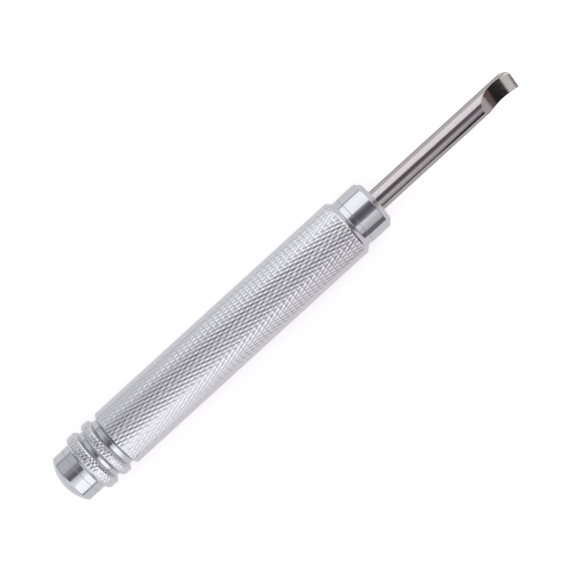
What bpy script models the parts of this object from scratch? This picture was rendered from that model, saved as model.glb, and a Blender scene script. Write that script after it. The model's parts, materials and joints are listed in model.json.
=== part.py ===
# Watchmaker's screwdriver with a hollow-ground lever tip.
# The tool lies on its side along X: the swivel head at -X, the tip at +X, and
# Z = 0 is the surface that the knurled rings rest on. Sizes are in metres.

import math

import bmesh
import bpy
from mathutils import Vector

mm = 0.001

# Lengths along the tool, from the swivel head to the tip.
dome_height = 1.75 * mm
head_length = 4.14 * mm
rear_neck_length = 1.20 * mm
rear_ring_width = 3.00 * mm
ring_gap = 0.55 * mm
front_ring_width = 2.50 * mm
grip_gap = 0.85 * mm
grip_rear_flank = 0.50 * mm
grip_length = 56.05 * mm
grip_front_chamfer = 0.93 * mm
front_neck_length = 1.05 * mm
collar_length = 4.10 * mm
collar_chamfer = 0.95 * mm
blade_reach = 33.08 * mm

# Radii of the turned surfaces.
ring_radius = 5.95 * mm
grip_radius = 5.85 * mm
neck_radius = 5.00 * mm
front_neck_radius = 4.92 * mm
blade_radius = 2.08 * mm
head_edge_radius = 0.25 * mm
edge_break = 0.15 * mm
bead_fullness = 6.0       # higher gives a flatter crest on the knurled rings
bead_foot = 2.5           # higher gives a softer run-out into the neck

# Blade: shank depth in the handle, and the two grinds that form the tip.
shank_depth = 20.0 * mm
shank_chamfer = 0.30 * mm
shank_flat_depth = 0.33 * mm
scoop_radius = 6.30 * mm
scoop_from_tip = 3.42 * mm
scoop_floor = 0.10 * mm
back_radius = 8.10 * mm
back_from_tip = 6.23 * mm
back_height = 5.71 * mm
blade_roll = math.radians(38)

# Collar spigot and the set screw that clamps the blade.
spigot_radius = 3.50 * mm
spigot_length = 8.00 * mm
screw_radius = 1.50 * mm
screw_from_collar_face = 2.90 * mm
screw_below_surface = 0.25 * mm
socket_flats = 1.50 * mm
socket_depth = 1.20 * mm

# Swivel bearing in the rear of the handle.
spindle_radius = 1.25 * mm
spindle_in_head = 2.20 * mm
bush_radius = 3.00 * mm
bush_length = 6.00 * mm
head_play = 0.30 * mm
clip_thickness = 0.50 * mm
clip_radius = 2.10 * mm
clip_groove_radius = 0.95 * mm
spindle_nose = 0.60 * mm
ball_radius = 1.25 * mm

fit_gap = 0.30 * mm       # between pieces that rest on each other or are pressed together
running_gap = 0.10 * mm   # around a shaft that turns or slides
round_segments = 40
small_segments = 24
wheel_segments = 96        # the wheels that grind the tip
bead_steps = 12
drill_point = math.radians(59)

# Stations along X that follow from the lengths.
overall_length = (head_length + rear_neck_length + rear_ring_width + ring_gap
                  + front_ring_width + grip_gap + grip_rear_flank + grip_length
                  + grip_front_chamfer + front_neck_length + collar_length
                  + collar_chamfer + blade_reach)
rear_end = -overall_length / 2
tip_end = overall_length / 2
barrel_rear = rear_end + head_length
rear_neck_front = barrel_rear + rear_neck_length
rear_ring_front = rear_neck_front + rear_ring_width
front_ring_rear = rear_ring_front + ring_gap
front_ring_front = front_ring_rear + front_ring_width
grip_rear = front_ring_front + grip_gap
grip_front = grip_rear + grip_rear_flank + grip_length
front_neck_rear = grip_front + grip_front_chamfer
front_neck_front = front_neck_rear + front_neck_length
collar_shoulder = front_neck_front + collar_length
collar_face = collar_shoulder + collar_chamfer
shank_end = collar_face - shank_depth
screw_station = collar_face - screw_from_collar_face
head_face = barrel_rear - fit_gap
spindle_rear = head_face - spindle_in_head
bush_rear = barrel_rear + fit_gap
bush_front = bush_rear + bush_length
clip_rear = bush_front + head_play
clip_front = clip_rear + clip_thickness
spindle_end = clip_front + spindle_nose
ball_station = spindle_end + running_gap + ball_radius
axis_height = ring_radius


def clear_scene():
    for obj in list(bpy.data.objects):
        bpy.data.objects.remove(obj, do_unlink=True)


def make_collection(name):
    collection = bpy.data.collections.new(name)
    bpy.context.scene.collection.children.link(collection)
    return collection


def make_metal(name, colour, roughness):
    material = bpy.data.materials.new(name)
    material.use_nodes = True
    shader = material.node_tree.nodes["Principled BSDF"]
    shader.inputs["Base Color"].default_value = (*colour, 1.0)
    shader.inputs["Metallic"].default_value = 1.0
    shader.inputs["Roughness"].default_value = roughness
    return material


def add_object(name, mesh, collection, parent, material=None):
    obj = bpy.data.objects.new(name, mesh)
    collection.objects.link(obj)
    obj.parent = parent
    if material:
        mesh.materials.append(material)
    return obj


def add_turned(name, outline, material, parent, segments=round_segments, closed=False):
    # The outline is a list of (radius, station) that runs from the tip end to
    # the rear end along the outside. Local Z becomes the tool's X axis.
    mesh = bpy.data.meshes.new(name)
    points = [(radius, 0.0, station) for radius, station in outline]
    edges = [(i, i + 1) for i in range(len(points) - 1)]
    if closed:
        edges.append((len(points) - 1, 0))
    mesh.from_pydata(points, edges, [])
    obj = add_object(name, mesh, parts, parent, material)
    obj.rotation_euler = (0.0, math.pi / 2, 0.0)
    lathe = obj.modifiers.new("lathe", "SCREW")
    lathe.axis = "Z"
    lathe.steps = segments
    lathe.render_steps = segments
    lathe.use_merge_vertices = True
    lathe.merge_threshold = 0.00001
    lathe.use_smooth_shade = True
    return obj


def add_cutter(name, mesh_maker, parent, location, rotation=(0.0, 0.0, 0.0)):
    mesh = bpy.data.meshes.new(name)
    bm = bmesh.new()
    mesh_maker(bm)
    bm.to_mesh(mesh)
    bm.free()
    cutter = add_object(name, mesh, cutters, parent)
    cutter.location = location
    cutter.rotation_euler = rotation
    cutter.hide_render = True
    cutter.display_type = "WIRE"
    return cutter


def cylinder(radius, depth, segments):
    def make(bm):
        bmesh.ops.create_cone(bm, cap_ends=True, segments=segments, radius1=radius,
                              radius2=radius, depth=depth)
    return make


def box(size_x, size_y, size_z):
    def make(bm):
        bmesh.ops.create_cube(bm, size=1.0)
        bmesh.ops.scale(bm, vec=Vector((size_x, size_y, size_z)), verts=bm.verts)
    return make


def cut(obj, cutter):
    boolean = obj.modifiers.new(cutter.name, "BOOLEAN")
    boolean.operation = "DIFFERENCE"
    boolean.solver = "EXACT"
    boolean.object = cutter


def arc(centre_radius, centre_station, radius, start_angle, end_angle, steps):
    # Points of an arc in the outline plane; angle 0 points towards the tip.
    points = []
    for i in range(steps + 1):
        angle = start_angle + (end_angle - start_angle) * i / steps
        points.append((centre_radius + radius * math.sin(angle),
                       centre_station + radius * math.cos(angle)))
    return points


def bead(rear, width):
    # A rounded ring that runs out into the necks beside it, from front to rear.
    height = ring_radius - neck_radius
    points = []
    for i in range(bead_steps + 1):
        across = math.cos(math.pi * i / bead_steps)
        rise = (1 - across ** bead_fullness) ** bead_foot
        points.append((neck_radius + height * rise, rear + width / 2 * (1 + across)))
    return points


def build_barrel(parent):
    # One bar, knurled along the grip and on the two rings, drilled from both ends.
    spigot_bore = spigot_radius + fit_gap
    shank_bore = blade_radius + fit_gap
    spigot_floor = front_neck_front - spigot_length - 2 * fit_gap
    shank_floor = shank_end - 2 * fit_gap
    bush_bore = bush_radius + fit_gap
    ball_bore = ball_radius + fit_gap
    ball_seat = ball_station + (ball_radius + fit_gap) / math.sin(drill_point)
    ball_floor = ball_seat - ball_bore / math.tan(drill_point)
    outline = [(0.0, shank_floor - shank_bore / math.tan(drill_point)),
               (shank_bore, shank_floor), (shank_bore, spigot_floor),
               (spigot_bore, spigot_floor), (spigot_bore, front_neck_front),
               (front_neck_radius, front_neck_front), (front_neck_radius, front_neck_rear),
               (grip_radius, grip_front), (grip_radius, grip_rear + 2 * grip_rear_flank),
               (grip_radius - edge_break, grip_rear + grip_rear_flank),
               (neck_radius, grip_rear)]
    outline += bead(front_ring_rear, front_ring_width)
    outline += bead(rear_neck_front, rear_ring_width)
    outline += [(neck_radius, barrel_rear), (bush_bore, barrel_rear),
                (bush_bore, spindle_end), (ball_bore, spindle_end),
                (ball_bore, ball_floor), (0.0, ball_seat)]
    return add_turned("barrel", outline, aluminium, parent)


def build_nose_collar(parent, blade_frame):
    bore = blade_radius + running_gap
    rear_face = front_neck_front + fit_gap
    spigot_rear = front_neck_front - spigot_length
    outline = [(bore, collar_face), (neck_radius - collar_chamfer, collar_face),
               (neck_radius, collar_shoulder), (neck_radius, rear_face),
               (spigot_radius, rear_face), (spigot_radius, spigot_rear), (bore, spigot_rear)]
    collar = add_turned("nose_collar", outline, bright_aluminium, parent, closed=True)
    hole_depth = 2 * neck_radius
    screw_hole = add_cutter(
        "screw_hole", cylinder(screw_radius + running_gap, hole_depth, small_segments),
        blade_frame, (screw_station, 0.0, -hole_depth / 2))
    cut(collar, screw_hole)
    return collar


def build_blade(blade_frame):
    outline = [(0.0, tip_end), (blade_radius, tip_end),
               (blade_radius, shank_end + shank_chamfer),
               (blade_radius - shank_chamfer, shank_end), (0.0, shank_end)]
    blade = add_turned("blade", outline, steel, blade_frame)

    # The hollow grind is one pass of a small wheel across the shaft.
    scoop = add_cutter("scoop", cylinder(scoop_radius, 4 * blade_radius, wheel_segments),
                       blade_frame,
                       (tip_end - scoop_from_tip, 0.0, scoop_floor + scoop_radius),
                       (math.pi / 2, 0.0, 0.0))
    cut(blade, scoop)

    # The back is rounded towards the edge: everything outside a drum is cut away.
    back_depth = back_height + 2 * blade_radius
    back_centre = (tip_end - back_from_tip, 0.0, back_height)
    back_drum = add_cutter("back_drum", cylinder(back_radius, 6 * blade_radius, wheel_segments),
                           blade_frame, back_centre, (math.pi / 2, 0.0, 0.0))
    back_block = add_cutter("back_block", box(3 * back_from_tip, 4 * blade_radius, back_depth),
                            blade_frame,
                            (back_centre[0] + 1.5 * back_from_tip, 0.0,
                             back_height - back_depth / 2))
    cut(back_block, back_drum)
    cut(blade, back_block)

    # A flat along the shank takes the set screw and lets the blade draw out.
    flat_length = shank_depth - collar_chamfer
    flat_height = 2 * blade_radius
    shank_flat = add_cutter("shank_flat", box(2 * flat_length, 4 * blade_radius, flat_height),
                            blade_frame,
                            (shank_end, 0.0,
                             shank_flat_depth - blade_radius - flat_height / 2))
    cut(blade, shank_flat)
    return blade


def build_blade_screw(blade_frame):
    inner_end = -(blade_radius - shank_flat_depth) - fit_gap
    outer_end = -(neck_radius - screw_below_surface)
    length = inner_end - outer_end
    mesh = bpy.data.meshes.new("blade_screw")
    bm = bmesh.new()
    bmesh.ops.create_cone(bm, cap_ends=True, segments=small_segments,
                          radius1=screw_radius, radius2=screw_radius, depth=length)
    bm.to_mesh(mesh)
    bm.free()
    screw = add_object("blade_screw", mesh, parts, blade_frame, dark_steel)
    screw.location = (screw_station, 0.0, (inner_end + outer_end) / 2)
    socket_radius = socket_flats / 2 / math.cos(math.pi / 6)
    socket = add_cutter("screw_socket", cylinder(socket_radius, 2 * socket_depth, 6),
                        blade_frame, (screw_station, 0.0, outer_end))
    cut(screw, socket)
    return screw


def build_swivel_head(parent):
    dome_base = neck_radius - head_edge_radius
    dome_radius = (dome_base ** 2 + dome_height ** 2) / (2 * dome_height)
    dome_centre = rear_end + dome_radius
    half_angle = math.asin(dome_base / dome_radius)
    socket_bore = spindle_radius + fit_gap
    socket_floor = spindle_rear - fit_gap
    outline = [(0.0, socket_floor), (socket_bore, socket_floor), (socket_bore, head_face),
               (neck_radius - edge_break, head_face), (neck_radius, head_face - edge_break),
               (neck_radius, rear_end + dome_height + head_edge_radius)]
    outline += arc(0.0, dome_centre, dome_radius, math.pi - half_angle, math.pi, 7)
    return add_turned("swivel_head", outline, bright_aluminium, parent)


def build_head_spindle(parent):
    groove_rear = clip_rear - running_gap
    groove_front = clip_front + running_gap
    outline = [(0.0, spindle_end), (spindle_radius - edge_break, spindle_end),
               (spindle_radius, spindle_end - edge_break), (spindle_radius, groove_front),
               (clip_groove_radius, groove_front), (clip_groove_radius, groove_rear),
               (spindle_radius, groove_rear), (spindle_radius, spindle_rear),
               (0.0, spindle_rear)]
    return add_turned("head_spindle", outline, steel, parent, small_segments)


def build_bearing_bush(parent):
    bore = spindle_radius + running_gap
    outline = [(bore, bush_front), (bush_radius - edge_break, bush_front),
               (bush_radius, bush_front - edge_break), (bush_radius, bush_rear),
               (bore, bush_rear)]
    return add_turned("bearing_bush", outline, brass, parent, small_segments, closed=True)


def build_retaining_clip(parent):
    bore = clip_groove_radius + running_gap
    outline = [(bore, clip_front), (clip_radius, clip_front),
               (clip_radius, clip_rear), (bore, clip_rear)]
    clip = add_turned("retaining_clip", outline, dark_steel, parent, small_segments, closed=True)
    mouth = add_cutter("clip_mouth", box(2 * clip_thickness, 1.5 * clip_groove_radius,
                                         2 * clip_radius),
                       parent, ((clip_rear + clip_front) / 2, 0.0, clip_radius))
    cut(clip, mouth)
    return clip


def build_thrust_ball(parent):
    mesh = bpy.data.meshes.new("thrust_ball")
    bm = bmesh.new()
    bmesh.ops.create_uvsphere(bm, u_segments=20, v_segments=12, radius=ball_radius)
    bm.to_mesh(mesh)
    bm.free()
    ball = add_object("thrust_ball", mesh, parts, parent, steel)
    ball.location = (ball_station, 0.0, 0.0)
    return ball


clear_scene()
parts = make_collection("watchmaker_screwdriver")
cutters = make_collection("cutters")

aluminium = make_metal("knurled_aluminium", (0.56, 0.56, 0.60), 0.35)
bright_aluminium = make_metal("turned_aluminium", (0.60, 0.60, 0.64), 0.25)
steel = make_metal("ground_steel", (0.33, 0.30, 0.30), 0.30)
dark_steel = make_metal("black_steel", (0.06, 0.06, 0.07), 0.45)
brass = make_metal("bearing_brass", (0.55, 0.40, 0.16), 0.35)

tool_axis = bpy.data.objects.new("tool_axis", None)
tool_axis.location = (0.0, 0.0, axis_height)
parts.objects.link(tool_axis)

# The blade's own frame: its Z axis points out of the hollow-ground face.
blade_frame = bpy.data.objects.new("blade_frame", None)
blade_frame.parent = tool_axis
blade_frame.rotation_euler = (blade_roll, 0.0, 0.0)
parts.objects.link(blade_frame)

build_barrel(tool_axis)
build_nose_collar(tool_axis, blade_frame)
build_blade(blade_frame)
build_blade_screw(blade_frame)
build_swivel_head(tool_axis)
build_head_spindle(tool_axis)
build_bearing_bush(tool_axis)
build_retaining_clip(tool_axis)
build_thrust_ball(tool_axis)
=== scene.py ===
import json
import math

import bmesh
import bpy
import numpy as np
from mathutils import Matrix, Vector


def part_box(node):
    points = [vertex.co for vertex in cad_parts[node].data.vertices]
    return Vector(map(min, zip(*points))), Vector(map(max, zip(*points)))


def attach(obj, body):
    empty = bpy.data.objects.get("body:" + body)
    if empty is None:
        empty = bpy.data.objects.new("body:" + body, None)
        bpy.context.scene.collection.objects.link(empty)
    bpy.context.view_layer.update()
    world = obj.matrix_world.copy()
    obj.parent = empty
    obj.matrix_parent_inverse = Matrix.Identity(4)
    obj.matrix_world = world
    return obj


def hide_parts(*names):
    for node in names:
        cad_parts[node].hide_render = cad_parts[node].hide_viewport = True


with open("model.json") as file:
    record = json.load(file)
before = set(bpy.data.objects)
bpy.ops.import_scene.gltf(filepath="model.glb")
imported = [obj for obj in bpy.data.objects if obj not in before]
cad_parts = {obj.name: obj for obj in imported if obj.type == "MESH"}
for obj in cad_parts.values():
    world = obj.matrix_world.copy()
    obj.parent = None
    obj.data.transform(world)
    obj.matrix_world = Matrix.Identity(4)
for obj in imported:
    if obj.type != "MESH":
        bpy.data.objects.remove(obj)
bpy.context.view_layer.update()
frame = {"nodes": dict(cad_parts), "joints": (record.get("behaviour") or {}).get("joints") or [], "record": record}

mm = 0.001
jointByName = {joint["name"]: joint for joint in frame["joints"]}
mountByName = {mount["name"]: mount for mount in frame["record"]["mounts"]}

# Everything turns about one line along X. A station is a place on it, and a radius is a
# distance from it.
axisHeight = jointByName["head_swivel"]["pos_m"][2]
barrelRear = jointByName["head_swivel"]["pos_m"][0]
screwAxis = Vector(jointByName["screw_turn"]["axis"])
screwStation = jointByName["screw_turn"]["pos_m"][0]
tipStation = mountByName["blade_edge"]["pos_m"][0]
collarFace = mountByName["collar_face"]["pos_m"][0]
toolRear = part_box("swivel_head")[0].x
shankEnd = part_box("blade")[0].x
neckRadius = (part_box("swivel_head")[1].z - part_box("swivel_head")[0].z) / 2
ringRadius = (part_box("barrel")[1].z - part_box("barrel")[0].z) / 2
bladeRadius = (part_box("blade")[1].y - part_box("blade")[0].y) / 2


# Mesh helpers.

def newPiece(name, mesh, body, material, replaced=()):
    piece = bpy.data.objects.new(name, mesh)
    bpy.context.scene.collection.objects.link(piece)
    piece.data.materials.append(material)
    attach(piece, body)
    if replaced:
        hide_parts(*replaced)
    print("made", name, len(mesh.polygons), "faces")
    return piece


def roundCorners(corners, steps=4):
    # Each corner is (radius, station, fillet). The fillet becomes an arc with a support
    # point just outside both its ends, so that the flats beside it stay flat in the light.
    supportShare = 0.4
    outline = []
    for index, (radius, station, fillet) in enumerate(corners):
        here = Vector((radius, station))
        if fillet == 0 or index in (0, len(corners) - 1):
            outline.append(here)
            continue
        before = (Vector(corners[index - 1][:2]) - here).normalized()
        after = (Vector(corners[index + 1][:2]) - here).normalized()
        halfAngle = before.angle(after) / 2
        setback = fillet / math.tan(halfAngle)
        centre = here + (before + after).normalized() * fillet / math.sin(halfAngle)
        start = here + before * setback
        end = here + after * setback
        outline.append(start + before * supportShare * fillet)
        for step in range(steps + 1):
            ray = (start - centre).normalized()
            ray = ray.slerp((end - centre).normalized(), step / steps)
            outline.append(centre + ray * fillet)
        outline.append(end + after * supportShare * fillet)
    return [(max(point.x, 0.0), point.y) for point in outline]


def ringRow(radius, station, columns, turn=0.0):
    angles = turn + np.arange(columns) * 2 * math.pi / columns
    radii = np.broadcast_to(radius, angles.shape)
    return np.stack([np.full(columns, station), radii * np.sin(angles),
                     axisHeight + radii * np.cos(angles)], axis=1)


def joinRows(name, rows, closed=False, staggered=None):
    # Rows of points, from the tip end to the rear along the outside, become one skin.
    # A row of one point closes an end, and closed joins the last row to the first.
    # staggered gives the upper row of each pair that lies half a step apart, and whether
    # that row is the shifted one. Such pairs are cut into flat facets.
    points = np.concatenate(rows)
    starts = np.cumsum([0] + [len(row) for row in rows])
    faces, smooth = [], []
    pairs = [(k, k + 1) for k in range(len(rows) - 1)]
    if closed:
        pairs.append((len(rows) - 1, 0))
    for upper, lower in pairs:
        a, b = int(starts[upper]), int(starts[lower])
        countA, countB = len(rows[upper]), len(rows[lower])
        count = max(countA, countB)
        halfStep = staggered.get(upper) if staggered else None
        for i in range(count):
            j = (i + 1) % count
            if countA == 1:
                faces.append((a, b + i, b + j))
            elif countB == 1:
                faces.append((a + j, a + i, b))
            elif halfStep is None:
                faces.append((a + i, b + i, b + j, a + j))
            elif halfStep:
                faces += [(a + i, b + i, b + j), (a + i, b + j, a + j)]
            else:
                faces += [(a + i, b + i, a + j), (b + i, b + j, a + j)]
        smooth += [halfStep is None] * (len(faces) - len(smooth))
    mesh = bpy.data.meshes.new(name)
    mesh.from_pydata(points.tolist(), [], faces)
    mesh.polygons.foreach_set("use_smooth", smooth)
    mesh.update()
    return mesh


def turnedRows(outline, columns):
    onAxis = 1e-7
    rows = []
    for radius, station in outline:
        if radius < onAxis:
            rows.append(np.array([[station, 0.0, axisHeight]]))
        else:
            rows.append(ringRow(radius, station, columns))
    return rows


def cutWith(mesh, name, cutters):
    # Subtracts each cutter mesh and returns the result as a plain mesh.
    body = bpy.data.objects.new(name, mesh)
    bpy.context.scene.collection.objects.link(body)
    helpers = []
    for index, cutterMesh in enumerate(cutters):
        helper = bpy.data.objects.new(f"{name}Cutter{index}", cutterMesh)
        bpy.context.scene.collection.objects.link(helper)
        helpers.append(helper)
        modifier = body.modifiers.new(f"cut{index}", "BOOLEAN")
        modifier.operation = "DIFFERENCE"
        modifier.solver = "EXACT"
        modifier.object = helper
    bpy.context.view_layer.update()
    evaluated = body.evaluated_get(bpy.context.evaluated_depsgraph_get())
    result = bpy.data.meshes.new_from_object(evaluated)
    result.name = name
    for helper in helpers + [body]:
        bpy.data.objects.remove(helper, do_unlink=True)
    return result


# Material helpers.

def newGroup(name, inputs, outputs):
    group = bpy.data.node_groups.new(name, "ShaderNodeTree")
    for socket, kind, value in inputs:
        made = group.interface.new_socket(socket, in_out="INPUT", socket_type=kind)
        made.default_value = value
    for socket, kind in outputs:
        group.interface.new_socket(socket, in_out="OUTPUT", socket_type=kind)
    return group, group.nodes.new("NodeGroupInput"), group.nodes.new("NodeGroupOutput")


def makeToolMarks():
    # Fine rings left by a lathe tool, with a slow drift from one ring to the next.
    group, entry, leave = newGroup(
        "toolMarks",
        [("Rings per mm", "NodeSocketFloat", 9.0), ("Drift", "NodeSocketFloat", 0.5)],
        [("Height", "NodeSocketFloat")])
    links = group.links
    place = group.nodes.new("ShaderNodeTexCoord")
    split = group.nodes.new("ShaderNodeSeparateXYZ")
    links.new(place.outputs["Object"], split.inputs[0])
    toRings = group.nodes.new("ShaderNodeMath")
    toRings.operation = "MULTIPLY"
    links.new(entry.outputs["Rings per mm"], toRings.inputs[0])
    toRings.inputs[1].default_value = 1 / mm
    along = group.nodes.new("ShaderNodeMath")
    along.operation = "MULTIPLY"
    links.new(split.outputs["X"], along.inputs[0])
    links.new(toRings.outputs[0], along.inputs[1])
    rings = group.nodes.new("ShaderNodeTexNoise")
    rings.noise_dimensions = "1D"
    rings.inputs["Detail"].default_value = 3.0
    links.new(along.outputs[0], rings.inputs["W"])
    drift = group.nodes.new("ShaderNodeTexNoise")
    drift.inputs["Scale"].default_value = 0.35 / mm
    links.new(place.outputs["Object"], drift.inputs["Vector"])
    mix = group.nodes.new("ShaderNodeMix")
    links.new(entry.outputs["Drift"], mix.inputs["Factor"])
    links.new(rings.outputs["Fac"], mix.inputs["A"])
    links.new(drift.outputs["Fac"], mix.inputs["B"])
    links.new(mix.outputs["Result"], leave.inputs["Height"])
    return group


def makePatina():
    # Slow blotches of colour and gloss, as handled metal has.
    group, entry, leave = newGroup(
        "patina",
        [("Colour", "NodeSocketColor", (0.6, 0.6, 0.6, 1)),
         ("Shade", "NodeSocketColor", (0.5, 0.5, 0.5, 1)),
         ("Spot size mm", "NodeSocketFloat", 1.2),
         ("Rough low", "NodeSocketFloat", 0.2),
         ("Rough high", "NodeSocketFloat", 0.3)],
        [("Colour", "NodeSocketColor"), ("Roughness", "NodeSocketFloat")])
    links = group.links
    place = group.nodes.new("ShaderNodeTexCoord")
    scale = group.nodes.new("ShaderNodeMath")
    scale.operation = "DIVIDE"
    scale.inputs[0].default_value = 1 / mm
    links.new(entry.outputs["Spot size mm"], scale.inputs[1])
    spots = group.nodes.new("ShaderNodeTexNoise")
    spots.inputs["Detail"].default_value = 5.0
    links.new(place.outputs["Object"], spots.inputs["Vector"])
    links.new(scale.outputs[0], spots.inputs["Scale"])
    tint = group.nodes.new("ShaderNodeMix")
    tint.data_type = "RGBA"
    links.new(spots.outputs["Fac"], tint.inputs["Factor"])
    links.new(entry.outputs["Colour"], tint.inputs["A"])
    links.new(entry.outputs["Shade"], tint.inputs["B"])
    links.new(tint.outputs["Result"], leave.inputs["Colour"])
    gloss = group.nodes.new("ShaderNodeMapRange")
    gloss.inputs["From Min"].default_value = 0.3
    gloss.inputs["From Max"].default_value = 0.7
    links.new(spots.outputs["Fac"], gloss.inputs["Value"])
    links.new(entry.outputs["Rough low"], gloss.inputs["To Min"])
    links.new(entry.outputs["Rough high"], gloss.inputs["To Max"])
    links.new(gloss.outputs["Result"], leave.inputs["Roughness"])
    return group


toolMarks = makeToolMarks()
patina = makePatina()


def fillPatina(node, look):
    node.inputs["Colour"].default_value = (*look["colour"], 1)
    node.inputs["Shade"].default_value = (*look["shade"], 1)
    node.inputs["Spot size mm"].default_value = look["spotSize"]
    node.inputs["Rough low"].default_value = look["rough"][0]
    node.inputs["Rough high"].default_value = look["rough"][1]


def makeMetal(name, look):
    material = bpy.data.materials.new(name)
    material.use_nodes = True
    tree = material.node_tree
    shader = tree.nodes["Principled BSDF"]
    shader.inputs["Metallic"].default_value = 1.0
    # A look's edge tint turns the grazing reflections darker: painted shade along the silhouette edges.
    shader.inputs["Specular Tint"].default_value = (*look.get("edgeTint", (1, 1, 1)), 1)
    surface = tree.nodes.new("ShaderNodeGroup")
    surface.node_tree = patina
    fillPatina(surface, look)
    colour = surface.outputs["Colour"]
    roughness = surface.outputs["Roughness"]
    if "groove" in look:
        # The mesh says how high each point of the knurl stands, and where it was turned off. The grooves get a
        # darker colour: painted shade in the knurl's recesses.
        height = tree.nodes.new("ShaderNodeAttribute")
        height.attribute_name = "knurlHeight"
        grooveShadeMix = tree.nodes.new("ShaderNodeMix")
        grooveShadeMix.data_type = "RGBA"
        grooveShadeMix.inputs["A"].default_value = (*look["groove"], 1)
        tree.links.new(height.outputs["Fac"], grooveShadeMix.inputs["Factor"])
        tree.links.new(colour, grooveShadeMix.inputs["B"])
        area = tree.nodes.new("ShaderNodeAttribute")
        area.attribute_name = "knurled"
        plain = tree.nodes.new("ShaderNodeGroup")
        plain.node_tree = patina
        fillPatina(plain, metals["turned"])
        pick = tree.nodes.new("ShaderNodeMix")
        pick.data_type = "RGBA"
        tree.links.new(area.outputs["Fac"], pick.inputs["Factor"])
        tree.links.new(plain.outputs["Colour"], pick.inputs["A"])
        tree.links.new(grooveShadeMix.outputs["Result"], pick.inputs["B"])
        colour = pick.outputs["Result"]
        gloss = tree.nodes.new("ShaderNodeMix")
        tree.links.new(area.outputs["Fac"], gloss.inputs["Factor"])
        tree.links.new(plain.outputs["Roughness"], gloss.inputs["A"])
        tree.links.new(roughness, gloss.inputs["B"])
        roughness = gloss.outputs["Result"]
    if "ground" in look:   # the concave face of the grind gets a darker colour: painted shade in the hollow
        area = tree.nodes.new("ShaderNodeAttribute")
        area.attribute_name = "ground"
        hollow = tree.nodes.new("ShaderNodeMix")
        hollow.data_type = "RGBA"
        tree.links.new(area.outputs["Fac"], hollow.inputs["Factor"])
        tree.links.new(colour, hollow.inputs["A"])
        hollow.inputs["B"].default_value = (*look["ground"], 1)
        colour = hollow.outputs["Result"]
    tree.links.new(roughness, shader.inputs["Roughness"])
    tree.links.new(colour, shader.inputs["Base Color"])
    marks = tree.nodes.new("ShaderNodeGroup")
    marks.node_tree = toolMarks
    marks.inputs["Rings per mm"].default_value = look["ringsPerMm"]
    marks.inputs["Drift"].default_value = look["drift"]
    bump = tree.nodes.new("ShaderNodeBump")
    bump.inputs["Distance"].default_value = look["markDepth"] * mm
    bump.inputs["Strength"].default_value = 1.0
    tree.links.new(marks.outputs["Height"], bump.inputs["Height"])
    tree.links.new(bump.outputs["Normal"], shader.inputs["Normal"])
    return material


metals = {
    # The knurled look's groove colour is painted shade that darkens the knurl's grooves.
    "knurled": {"colour": (0.71, 0.71, 0.74), "shade": (0.67, 0.67, 0.70), "spotSize": 2.5,
                "rough": (0.16, 0.22), "ringsPerMm": 6.0, "drift": 0.6, "markDepth": 0.002,
                "groove": (0.64, 0.64, 0.67)},
    "turned": {"colour": (0.61, 0.61, 0.65), "shade": (0.57, 0.57, 0.61), "spotSize": 1.6,
               "rough": (0.11, 0.16), "ringsPerMm": 9.0, "drift": 0.3, "markDepth": 0.0006},
    # The blade's ground colour is painted shade in the hollow of the grind.
    "blade": {"colour": (0.52, 0.485, 0.485), "shade": (0.45, 0.42, 0.42), "spotSize": 0.8,
              "rough": (0.11, 0.17), "ringsPerMm": 3.0, "drift": 0.5, "markDepth": 0.0005,
              # The blade's edge tint darkens its grazing reflections: painted shade along the rod's edges.
              "edgeTint": (0.5, 0.48, 0.48), "ground": (0.39, 0.355, 0.355)},
    "bearing": {"colour": (0.55, 0.55, 0.56), "shade": (0.45, 0.45, 0.46), "spotSize": 0.8,
                "rough": (0.15, 0.25), "ringsPerMm": 14.0, "drift": 0.4, "markDepth": 0.001},
    "blackened": {"colour": (0.06, 0.06, 0.065), "shade": (0.03, 0.03, 0.035), "spotSize": 0.5,
                  "rough": (0.35, 0.5), "ringsPerMm": 8.0, "drift": 0.5, "markDepth": 0.002},
    "brass": {"colour": (0.72, 0.52, 0.22), "shade": (0.58, 0.40, 0.16), "spotSize": 0.8,
              "rough": (0.2, 0.3), "ringsPerMm": 8.0, "drift": 0.4, "markDepth": 0.002},
}
finish = {name: makeMetal(f"{name}Metal", look) for name, look in metals.items()}
print("materials made")


# Barrel: one bar with a long knurled grip, two knurled rings and a neck at each end.

barrel = {
    "rearNeck": 1.20 * mm, "rearRing": 3.00 * mm, "ringGap": 0.55 * mm,
    "frontRing": 2.50 * mm, "gripGap": 0.85 * mm, "rearFlank": 0.50 * mm,
    "grip": 56.05 * mm, "frontChamfer": 0.93 * mm,
    "gripRadius": 5.85 * mm, "frontNeckRadius": 4.92 * mm,
    "beadFullness": 6.0, "beadFoot": 2.5,
    "ridges": 49, "diamondLength": 2.18 * mm, "knurlDepth": 0.078 * mm,
    "crestFlat": 0.12, "cellSteps": 4, "edge": 0.025 * mm,
    "ringFlank": (1.0, 0.975, 0.945, 0.91), "ringLattice": 0.88, "ringKnurl": 0.86,
    "coneShares": (0.06, 0.14, 0.5, 0.86, 0.94),
    "spigotBore": 3.8 * mm, "spigotDepth": 8.6 * mm, "shankBore": 2.38 * mm,
    "shankClearance": 0.6 * mm, "shankDrillPoint": 1.4 * mm,
    "bushBore": 3.3 * mm, "bushDepth": 7.7 * mm,
    "ballBore": 1.55 * mm, "ballDepth": 2.2 * mm, "ballDrillPoint": 0.93 * mm,
}
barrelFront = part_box("barrel")[1].x


def knurlHeight(angles, station):
    # 0 in the grooves and 1 on the flattened crests of the diamonds.
    around = angles * barrel["ridges"] / (2 * math.pi)
    along = station / barrel["diamondLength"]
    heights = []
    for phase in (around + along, around - along):
        part = phase - np.floor(phase)
        heights.append(1 - np.abs(2 * part - 1))
    peak = np.minimum(heights[0], heights[1])
    return np.minimum(peak / (1 - barrel["crestFlat"]), 1.0)


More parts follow.
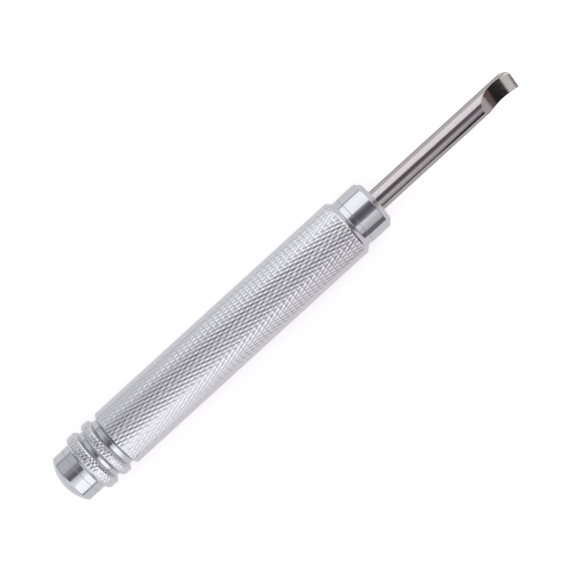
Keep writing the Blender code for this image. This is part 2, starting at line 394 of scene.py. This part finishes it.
def makeBarrelMesh():
    columns = barrel["ridges"] * barrel["cellSteps"]
    rowStep = barrel["diamondLength"] / (2 * barrel["cellSteps"])
    edge = barrel["edge"]
    gripRadius = barrel["gripRadius"]
    frontRadius = barrel["frontNeckRadius"]
    knurlFoot = gripRadius - barrel["knurlDepth"]
    rearRingStart = barrelRear + barrel["rearNeck"]
    frontRingStart = rearRingStart + barrel["rearRing"] + barrel["ringGap"]
    gripStart = frontRingStart + barrel["frontRing"] + barrel["gripGap"]
    gripFlat = gripStart + barrel["rearFlank"]
    gripEnd = gripFlat + barrel["grip"]
    frontNeck = gripEnd + barrel["frontChamfer"]

    def plain(radius, station):
        if radius == 0:
            return {"points": np.array([[station, 0.0, axisHeight]]), "lift": 1.0}
        return {"points": ringRow(radius, station, columns), "lift": 1.0}

    def knurledRow(station, crestRadius, formRadius):
        # The crests reach crestRadius, and nothing stands out past formRadius.
        halfStep = round(station / rowStep) % 2
        shift = halfStep * math.pi / columns
        angles = shift + np.arange(columns) * 2 * math.pi / columns
        lift = knurlHeight(angles, station)
        knurled = crestRadius - barrel["knurlDepth"] * (1 - lift)
        return {"points": ringRow(np.minimum(knurled, formRadius), station, columns, shift),
                "lift": lift, "halfStep": halfStep}

    def latticeStations(low, high):
        first = math.ceil(low / rowStep)
        last = math.floor(high / rowStep)
        return [k * rowStep for k in range(last, first - 1, -1)]

    def straight(radius, front, rear):
        # A cylinder with a row close to each end, so that it stays flat in the light.
        stations = [front, front - edge, front - 3 * edge, rear + 3 * edge, rear + edge, rear]
        return [plain(radius, station) for station in stations]

    def cone(frontRadius, front, rearRadius, rear):
        rows = []
        for share in barrel["coneShares"]:
            rows.append(plain(frontRadius + (rearRadius - frontRadius) * share,
                              front + (rear - front) * share))
        return rows

    def beadRows(start, width):
        # A rounded ring that runs out into the necks beside it.
        middle = start + width / 2
        half = width / 2
        reach = half * barrel["ringLattice"]
        stations = [middle + half * across for across in barrel["ringFlank"]]
        stations += latticeStations(middle - reach, middle + reach)
        stations += [middle - half * across for across in reversed(barrel["ringFlank"])]
        made = []
        for station in stations:
            across = min(abs(station - middle) / half, 1.0)
            rise = (1 - across ** barrel["beadFullness"]) ** barrel["beadFoot"]
            form = neckRadius + (ringRadius - neckRadius) * rise
            if across > barrel["ringKnurl"]:
                made.append(plain(form, station))
            else:   # the knurl follows the ring's form and ends on its flanks
                made.append(knurledRow(station, form, form))
        return made

    spigotBore, shankBore = barrel["spigotBore"], barrel["shankBore"]
    bushBore, ballBore = barrel["bushBore"], barrel["ballBore"]
    spigotFloor = barrelFront - barrel["spigotDepth"]
    shankFloor = shankEnd - barrel["shankClearance"]
    bushFloor = barrelRear + barrel["bushDepth"]
    ballFloor = bushFloor + barrel["ballDepth"]
    chamferSlope = (gripRadius - frontRadius) / barrel["frontChamfer"]
    coneFoot = frontNeck - (knurlFoot - frontRadius) / chamferSlope
    rows = [plain(0, shankFloor - barrel["shankDrillPoint"]), plain(shankBore, shankFloor),
            plain(shankBore, spigotFloor), plain(spigotBore, spigotFloor),
            plain(spigotBore, barrelFront - edge), plain(spigotBore + edge, barrelFront),
            plain(frontRadius - 2 * edge, barrelFront), plain(frontRadius - edge, barrelFront)]
    rows += straight(frontRadius, barrelFront - edge, frontNeck + edge)
    rows += cone(frontRadius, frontNeck, knurlFoot, coneFoot)
    for station in latticeStations(gripFlat, coneFoot):
        form = min(gripRadius, frontRadius + (frontNeck - station) * chamferSlope)
        rows.append(knurledRow(station, gripRadius, form))
    rows += cone(knurlFoot, gripFlat, neckRadius, gripStart)
    rows += straight(neckRadius, gripStart - edge, frontRingStart + barrel["frontRing"] + edge)
    rows += beadRows(frontRingStart, barrel["frontRing"])
    rows += straight(neckRadius, frontRingStart - edge,
                     rearRingStart + barrel["rearRing"] + edge)
    rows += beadRows(rearRingStart, barrel["rearRing"])
    rows += straight(neckRadius, rearRingStart - edge, barrelRear + edge)
    rows += [plain(neckRadius - edge, barrelRear), plain(neckRadius - 2 * edge, barrelRear),
             plain(bushBore + edge, barrelRear), plain(bushBore, barrelRear + edge),
             plain(bushBore, bushFloor), plain(ballBore, bushFloor),
             plain(ballBore, ballFloor), plain(0, ballFloor + barrel["ballDrillPoint"])]
    staggered = {k: row["halfStep"] for k, row in enumerate(rows[:-1])
                 if "halfStep" in row and "halfStep" in rows[k + 1]}
    mesh = joinRows("barrelSkin", [row["points"] for row in rows], staggered=staggered)
    shares = {"knurlHeight": [row["lift"] for row in rows],
              "knurled": [float("halfStep" in row) for row in rows]}
    for name, values in shares.items():
        spread = [np.broadcast_to(value, len(row["points"]))
                  for value, row in zip(values, rows)]
        attribute = mesh.attributes.new(name, "FLOAT", "POINT")
        attribute.data.foreach_set("value", np.concatenate(spread).astype(np.float32))
    return mesh


newPiece("knurledBarrel", makeBarrelMesh(), "handle",
         finish["knurled"], ["barrel"])


# Nose collar.

collar = {
    "columns": 192, "bore": 2.18 * mm, "chamfer": 0.95 * mm, "spigotRadius": 3.5 * mm,
    "spigotLength": 8.0 * mm, "seam": 0.02 * mm, "screwHole": 1.6 * mm,
    "countersink": 0.25 * mm, "holeColumns": 48, "sinkReach": 0.3 * mm,
    "boreEdge": 0.10 * mm, "faceEdge": 0.06 * mm, "shoulderEdge": 0.10 * mm,
    "rearEdge": 0.025 * mm, "spigotRoot": 0.05 * mm, "spigotEdge": 0.1 * mm,
}


def screwFrame(depth):
    # Places a cutter or the screw: its Z runs out along the screw's axis.
    turn = Vector((0, 0, 1)).rotation_difference(screwAxis).to_matrix().to_4x4()
    centre = Vector((screwStation, 0, axisHeight)) + screwAxis * depth
    return Matrix.Translation(centre) @ turn


def coneMesh(name, lowRadius, highRadius, depth, columns, place):
    bm = bmesh.new()
    bmesh.ops.create_cone(bm, cap_ends=True, segments=columns, radius1=lowRadius,
                          radius2=highRadius, depth=depth)
    bmesh.ops.transform(bm, matrix=place, verts=bm.verts)
    mesh = bpy.data.meshes.new(name)
    bm.to_mesh(mesh)
    bm.free()
    return mesh


def makeCollarMesh():
    rear = barrelFront + collar["seam"]
    spigotRear = barrelFront - collar["spigotLength"]
    shoulder = collarFace - collar["chamfer"]
    corners = [(collar["bore"], spigotRear + mm, 0),
               (collar["bore"], collarFace, collar["boreEdge"]),
               (neckRadius - collar["chamfer"], collarFace, collar["faceEdge"]),
               (neckRadius, shoulder, collar["shoulderEdge"]),
               (neckRadius, rear, collar["rearEdge"]),
               (collar["spigotRadius"], rear, collar["spigotRoot"]),
               (collar["spigotRadius"], spigotRear, collar["spigotEdge"]),
               (collar["bore"], spigotRear, collar["spigotEdge"]),
               (collar["bore"], spigotRear + mm / 2, 0)]
    rows = turnedRows(roundCorners(corners), collar["columns"])
    mesh = joinRows("collarBlank", rows, closed=True)
    outside = screwFrame(neckRadius)
    radius, reach = collar["screwHole"], collar["sinkReach"]
    hole = coneMesh("hole", radius, radius, 2 * neckRadius, collar["holeColumns"], outside)
    sink = coneMesh("sink", radius - reach, radius + collar["countersink"] + reach,
                    2 * reach + 2 * collar["countersink"], collar["holeColumns"], outside)
    return cutWith(mesh, "noseCollar", [hole, sink])


newPiece("noseCollar", makeCollarMesh(), "handle", finish["turned"],
         ["nose_collar"])


# Swivel head.

head = {
    "columns": 192, "domeHeight": 1.75 * mm, "cornerRadius": 0.35 * mm, "seam": 0.02 * mm,
    "socket": 1.55 * mm, "socketDepth": 2.5 * mm, "socketClearance": 0.3 * mm,
    "socketEdge": 0.05 * mm, "faceEdge": 0.025 * mm, "cornerSteps": 6,
    "domeSteps": 24, "domeShare": 0.8,
}


def makeHeadMesh():
    face = barrelRear - head["seam"]
    floor = barrelRear - head["socketClearance"] - head["socketDepth"]
    domeRadius = (neckRadius ** 2 + head["domeHeight"] ** 2) / (2 * head["domeHeight"])
    centre = toolRear + domeRadius
    domeAngle = math.asin(neckRadius / domeRadius) * head["domeShare"]
    corners = [(0, floor, 0), (head["socket"], floor, 0),
               (head["socket"], face, head["socketEdge"]),
               (neckRadius, face, head["faceEdge"]),
               (neckRadius, toolRear + head["domeHeight"], head["cornerRadius"]),
               (domeRadius * math.sin(domeAngle),
                centre - domeRadius * math.cos(domeAngle), 0)]
    outline = roundCorners(corners, head["cornerSteps"])
    for step in range(1, head["domeSteps"] + 1):
        angle = domeAngle * (1 - step / head["domeSteps"])
        outline.append((domeRadius * math.sin(angle), centre - domeRadius * math.cos(angle)))
    return joinRows("swivelHead", turnedRows(outline, head["columns"]))


newPiece("swivelHead", makeHeadMesh(), "head", finish["turned"],
         ["swivel_head"])


# Blade: drawn rod with a hollow-ground lever tip.

blade = {
    "roll": math.radians(38), "sideColumns": 44, "topColumns": 24, "backColumns": 16,
    "scoopRadius": 6.30 * mm, "scoopFromTip": 3.42 * mm, "scoopFloor": 0.10 * mm,
    "backRadius": 8.10 * mm, "backFromTip": 6.23 * mm, "backHeight": 5.71 * mm,
    "flatDepth": 0.33 * mm, "flatShort": 0.95 * mm, "shankChamfer": 0.30 * mm,
    "tipSteps": 70, "rodSteps": 24, "flatSteps": 8, "weld": 1e-8,
    "sharpFrom": math.radians(28),
}


def bladeLimits(station):
    # The highest and lowest point of the section at this station, across the grinds.
    top, bottom = bladeRadius, -bladeRadius
    fromWheel = station - (tipStation - blade["scoopFromTip"])
    if abs(fromWheel) < blade["scoopRadius"]:
        ground = (blade["scoopFloor"] + blade["scoopRadius"]
                  - math.sqrt(blade["scoopRadius"] ** 2 - fromWheel ** 2))
        top = min(top, ground)
    fromDrum = station - (tipStation - blade["backFromTip"])
    if fromDrum > 0:
        ground = blade["backHeight"] - math.sqrt(blade["backRadius"] ** 2 - fromDrum ** 2)
        bottom = max(bottom, ground)
    return top, bottom


def bladeRow(station, radius, top, bottom):
    # One section: the ground top, one round side, the ground back, the other side. It is
    # then rolled about the axis to the angle of the grinds.
    topAngle = math.acos(min(top / radius, 1.0))
    backAngle = math.acos(max(bottom / radius, -1.0))
    points = []
    topWidth = radius * math.sin(topAngle)
    for k in range(blade["topColumns"]):
        points.append((-topWidth + 2 * topWidth * k / blade["topColumns"], min(top, radius)))
    for k in range(blade["sideColumns"]):
        angle = topAngle + (backAngle - topAngle) * k / blade["sideColumns"]
        points.append((radius * math.sin(angle), radius * math.cos(angle)))
    backWidth = radius * math.sin(backAngle)
    for k in range(blade["backColumns"]):
        points.append((backWidth - 2 * backWidth * k / blade["backColumns"],
                       max(bottom, -radius)))
    for k in range(blade["sideColumns"]):
        angle = backAngle + (topAngle - backAngle) * k / blade["sideColumns"]
        points.append((-radius * math.sin(angle), radius * math.cos(angle)))
    rolled = []
    for across, up in points:
        rolled.append((station,
                       across * math.cos(blade["roll"]) - up * math.sin(blade["roll"]),
                       axisHeight + across * math.sin(blade["roll"])
                       + up * math.cos(blade["roll"])))
    return np.array(rolled)


def makeBladeMesh():
    scoopStart = tipStation - blade["scoopFromTip"] - math.sqrt(
        blade["scoopRadius"] ** 2
        - (blade["scoopFloor"] + blade["scoopRadius"] - bladeRadius) ** 2)
    backStart = tipStation - blade["backFromTip"] + math.sqrt(
        blade["backRadius"] ** 2 - (blade["backHeight"] + bladeRadius) ** 2)
    flatEnd = collarFace - blade["flatShort"]
    flat = -bladeRadius + blade["flatDepth"]
    tipSteps, rodSteps, flatSteps = blade["tipSteps"], blade["rodSteps"], blade["flatSteps"]
    stations = [tipStation - (tipStation - scoopStart) * (1 - (k / tipSteps) ** 2)
                for k in range(tipSteps, -1, -1)]
    stations.append(backStart)
    stations = sorted(set(stations), reverse=True)
    rows = [bladeRow(station, bladeRadius, *bladeLimits(station)) for station in stations]
    for k in range(1, rodSteps + 1):
        station = scoopStart + (flatEnd - scoopStart) * k / rodSteps
        rows.append(bladeRow(station, bladeRadius, bladeRadius, -bladeRadius))
    chamferStart = shankEnd + blade["shankChamfer"]
    endRadius = bladeRadius - blade["shankChamfer"]
    for k in range(flatSteps + 1):
        station = flatEnd + (chamferStart - flatEnd) * k / flatSteps
        rows.append(bladeRow(station, bladeRadius, bladeRadius, flat))
    rows.append(bladeRow(shankEnd, endRadius, endRadius, flat))
    mesh = joinRows("bladeBlank", rows)
    # The concave face of the grind is marked so that its material paints it darker: painted shade in the hollow.
    ground = np.zeros((len(rows), len(rows[0])), dtype=np.float32)
    ground[:len(stations), :blade["topColumns"] + 1] = 1.0
    hollowShadeMask = mesh.attributes.new("ground", "FLOAT", "POINT")
    hollowShadeMask.data.foreach_set("value", ground.ravel())
    bm = bmesh.new()
    bm.from_mesh(mesh)
    bm.verts.ensure_lookup_table()
    perRow = len(rows[0])
    lastRow = (len(rows) - 1) * perRow
    bm.faces.new([bm.verts[k] for k in range(perRow)])
    bm.faces.new([bm.verts[lastRow + k] for k in reversed(range(perRow))])
    bmesh.ops.remove_doubles(bm, verts=bm.verts, dist=blade["weld"])
    bmesh.ops.dissolve_degenerate(bm, dist=blade["weld"], edges=bm.edges)
    bmesh.ops.recalc_face_normals(bm, faces=bm.faces)
    bm.to_mesh(mesh)
    bm.free()
    mesh.shade_smooth()
    mesh.set_sharp_from_angle(angle=blade["sharpFrom"])
    return mesh


newPiece("steelBlade", makeBladeMesh(), "blade", finish["blade"], ["blade"])


# Set screw.

setScrew = {
    "radius": 1.5 * mm, "innerEnd": 2.05 * mm, "outerEnd": 4.75 * mm, "socketFlats": 1.5 * mm,
    "socketDepth": 1.2 * mm, "edge": 0.2 * mm, "columns": 64, "socketSides": 6,
}


def makeScrewMesh():
    length = setScrew["outerEnd"] - setScrew["innerEnd"]
    place = screwFrame((setScrew["outerEnd"] + setScrew["innerEnd"]) / 2)
    radius, edge = setScrew["radius"], setScrew["edge"]
    profile = [(0.0, length / 2), (radius - edge, length / 2), (radius, length / 2 - edge),
               (radius, edge - length / 2), (radius - edge, -length / 2), (0.0, -length / 2)]
    columns = setScrew["columns"]
    rows = []
    for r, z in profile:
        if r == 0:
            rows.append(np.array([[0.0, 0.0, z]]))
        else:
            angles = -np.arange(columns) * 2 * math.pi / columns
            rows.append(np.stack([r * np.cos(angles), r * np.sin(angles),
                                  np.full(columns, z)], axis=1))
    mesh = joinRows("screwBlank", rows)
    mesh.transform(place)
    sides = setScrew["socketSides"]
    hexRadius = setScrew["socketFlats"] / 2 / math.cos(math.pi / sides)
    socket = coneMesh("socket", hexRadius, hexRadius, 2 * setScrew["socketDepth"], sides,
                      screwFrame(setScrew["outerEnd"]))
    return cutWith(mesh, "setScrew", [socket])


newPiece("setScrew", makeScrewMesh(), "set_screw", finish["blackened"],
         ["blade_screw"])


# Pieces inside keep their CAD shape.

insideFinish = {"head_spindle": "bearing", "thrust_ball": "bearing",
                "retaining_clip": "blackened", "bearing_bush": "brass"}
for node, metal in insideFinish.items():
    frame["nodes"][node].material_slots[0].material = finish[metal]
print("inside pieces finished")


# Studio: glowing paper, two rows of soft boxes, a black card, the air and the camera.

studio = {
    "tilt": math.radians(42.38), "cameraDistance": 0.3204, "lens": 111.8,
    "nearClip": 0.01, "aim": (-0.76 * mm, -0.49 * mm),
}

paper = {
    "across": 0.22, "up": 0.40, "colour": (0.85, 0.85, 0.85, 1), "roughness": 0.9,
    "specular": 0.1, "glow": 0.20, "seenGlow": 0.46,
}

# Light panels. Across and up are measured in the camera's view from the tool's middle:
# a panel's foot and top are (up, height) and left and right are places across.
panels = {
    "topPanel": {"foot": (0.25, 0.03), "top": (0.124, 0.30), "left": -0.195, "right": 0.25,
                 "radiance": 1.02},
    "topPanelEnd": {"foot": (0.25, 0.03), "top": (0.074, 0.30), "left": -0.42, "right": -0.195,
                    "radiance": 0.24},
    "bottomPanel": {"foot": (-0.20, 0.03), "top": (-0.106, 0.40), "left": -0.35, "right": 0.02,
                    "radiance": 0.70},
    "bottomPanelMid": {"foot": (-0.20, 0.03), "top": (-0.106, 0.40), "left": 0.02,
                       "right": 0.078, "radiance": 1.25},
    "bottomPanelEnd": {"foot": (-0.20, 0.005), "top": (-0.106, 0.40), "left": 0.078,
                       "right": 0.16, "radiance": 0.95},
    "bottomPanelTip": {"foot": (-0.177, 0.12), "top": (-0.106, 0.40), "left": 0.16,
                       "right": 0.27, "radiance": 0.48},
}
# A black card just outside the view beside the tip, which the hollow grind mirrors.
blackCard = {
    "middle": (0.0768, 0.0035), "width": 0.0344, "height": 0.022,
    "turn": math.radians(51.5), "colour": (0.02, 0.02, 0.022, 1), "roughness": 0.9,
}

# The air's colour changes from left to right, and gives way to two more on the way up.
airLook = {
    "sides": ((0.2, (0.45, 0.45, 0.47, 1)), (0.93, (0.27, 0.19, 0.18, 1)),
              (0.65, (0.33, 0.33, 0.35, 1)), (0.83, (0.19, 0.18, 0.19, 1))),
    "upper": (0.60, 0.85, (0.38, 0.37, 0.40, 1)),
    "overhead": (0.91, 0.995, (0.14, 0.13, 0.152, 1)),
    "seen": (0.95, 0.95, 0.95, 1),
}


def inView(across, up, height):
    # From the camera's across and up to the frame's X, Y and Z.
    turn = studio["tilt"]
    return Vector((across * math.cos(turn) + up * math.sin(turn),
                   up * math.cos(turn) - across * math.sin(turn), height))


def unitSheet(name, cells):
    bm = bmesh.new()
    bmesh.ops.create_grid(bm, x_segments=cells, y_segments=cells, size=0.5)
    mesh = bpy.data.meshes.new(name)
    bm.to_mesh(mesh)
    bm.free()
    sheet = bpy.data.objects.new(name, mesh)
    bpy.context.scene.collection.objects.link(sheet)
    return sheet


def addFloor():
    floor = unitSheet("paleFloor", 8)
    material = bpy.data.materials.new("palePaper")
    material.use_nodes = True
    shader = material.node_tree.nodes["Principled BSDF"]
    shader.inputs["Base Color"].default_value = paper["colour"]
    shader.inputs["Roughness"].default_value = paper["roughness"]
    shader.inputs["Specular IOR Level"].default_value = paper["specular"]
    # The paper is lit from below. It looks whiter to the eye than in the metal's mirror.
    ray = material.node_tree.nodes.new("ShaderNodeLightPath")
    glow = material.node_tree.nodes.new("ShaderNodeMix")
    glow.data_type = "RGBA"
    for socket, level in (("A", paper["glow"]), ("B", paper["seenGlow"])):
        glow.inputs[socket].default_value = (level, level, level, 1)
    material.node_tree.links.new(ray.outputs["Is Camera Ray"], glow.inputs["Factor"])
    material.node_tree.links.new(glow.outputs["Result"], shader.inputs["Emission Color"])
    shader.inputs["Emission Strength"].default_value = 1.0
    floor.scale = (paper["across"], paper["up"], 1)
    floor.rotation_euler = (0, 0, -studio["tilt"])
    floor.data.materials.append(material)


def addPanel(name, look):
    # A flat rectangular light between its foot and its top, shining on the tool.
    foot = inView(0, *look["foot"])
    top = inView(0, *look["top"])
    across = inView(1, 0, 0)
    middle = (foot + top) / 2 + across * (look["left"] + look["right"]) / 2
    light = bpy.data.lights.new(name, "AREA")
    light.shape = "RECTANGLE"
    light.size = look["right"] - look["left"]
    light.size_y = (top - foot).length
    light.energy = look["radiance"] * math.pi * light.size * light.size_y
    lamp = bpy.data.objects.new(name, light)
    bpy.context.scene.collection.objects.link(lamp)
    rise = (top - foot).normalized()
    back = across.cross(rise)
    if back.dot(middle) < 0:   # a light shines along its own -Z
        across, back = -across, -back
    place = Matrix((across, rise, back)).transposed().to_4x4()
    place.translation = middle
    lamp.matrix_world = place
    lamp.visible_camera = False


def addBlackCard():
    card = unitSheet("blackCard", 1)
    card.location = inView(*blackCard["middle"], blackCard["height"] / 2)
    card.scale = (blackCard["width"], blackCard["height"], 1)
    card.rotation_euler = (math.pi / 2, 0, blackCard["turn"] - studio["tilt"])
    material = bpy.data.materials.new("blackCard")
    material.use_nodes = True
    shader = material.node_tree.nodes["Principled BSDF"]
    shader.inputs["Base Color"].default_value = blackCard["colour"]
    shader.inputs["Roughness"].default_value = blackCard["roughness"]
    card.data.materials.append(material)
    card.visible_camera = False
    card.visible_diffuse = False


def addWorld():
    # Darkest overhead, where the camera stands, paler at the left and brownish at the
    # right. The camera itself sees it white.
    world = bpy.data.worlds.new("studioAir")
    bpy.context.scene.world = world
    world.use_nodes = True
    tree = world.node_tree
    links = tree.links
    place = tree.nodes.new("ShaderNodeTexCoord")
    turned = tree.nodes.new("ShaderNodeVectorRotate")
    turned.rotation_type = "Z_AXIS"
    turned.inputs["Angle"].default_value = studio["tilt"]
    links.new(place.outputs["Generated"], turned.inputs["Vector"])
    split = tree.nodes.new("ShaderNodeSeparateXYZ")
    links.new(turned.outputs["Vector"], split.inputs[0])

    def mixed(amount, low, high, first, second):
        # Goes from the first colour to the second while amount goes from low to high.
        share = tree.nodes.new("ShaderNodeMapRange")
        share.inputs["From Min"].default_value = low
        share.inputs["From Max"].default_value = high
        links.new(amount, share.inputs["Value"])
        mix = tree.nodes.new("ShaderNodeMix")
        mix.data_type = "RGBA"
        links.new(share.outputs["Result"], mix.inputs["Factor"])
        for socket, colour in (("A", first), ("B", second)):
            if isinstance(colour, tuple):
                mix.inputs[socket].default_value = colour
            else:
                links.new(colour, mix.inputs[socket])
        return mix.outputs["Result"]

    spread = tree.nodes.new("ShaderNodeMapRange")
    spread.inputs["From Min"].default_value = -1.0
    links.new(split.outputs["X"], spread.inputs["Value"])
    sides = tree.nodes.new("ShaderNodeValToRGB")
    links.new(spread.outputs["Result"], sides.inputs["Fac"])
    stops = sides.color_ramp.elements
    for k, (position, colour) in enumerate(airLook["sides"]):
        if k < 2:   # a new ramp has its first two stops already
            stops[k].position, stops[k].color = position, colour
        else:
            stops.new(position).color = colour
    air = sides.outputs["Color"]
    for low, high, colour in (airLook["upper"], airLook["overhead"]):
        air = mixed(split.outputs["Z"], low, high, air, colour)
    ray = tree.nodes.new("ShaderNodeLightPath")
    seen = mixed(ray.outputs["Is Camera Ray"], 0.0, 1.0, air, airLook["seen"])
    links.new(seen, tree.nodes["Background"].inputs["Color"])


def addCamera():
    data = bpy.data.cameras.new("studioCamera")
    data.lens = studio["lens"]
    data.clip_start = studio["nearClip"]
    camera = bpy.data.objects.new("studioCamera", data)
    bpy.context.scene.collection.objects.link(camera)
    camera.location = (*studio["aim"], axisHeight + studio["cameraDistance"])
    camera.rotation_euler = (0, 0, -studio["tilt"])
    bpy.context.scene.camera = camera


addFloor()
for name, look in panels.items():
    addPanel(name, look)
addBlackCard()
addWorld()
addCamera()
bpy.context.scene.view_settings.view_transform = "Standard"
print("studio set")
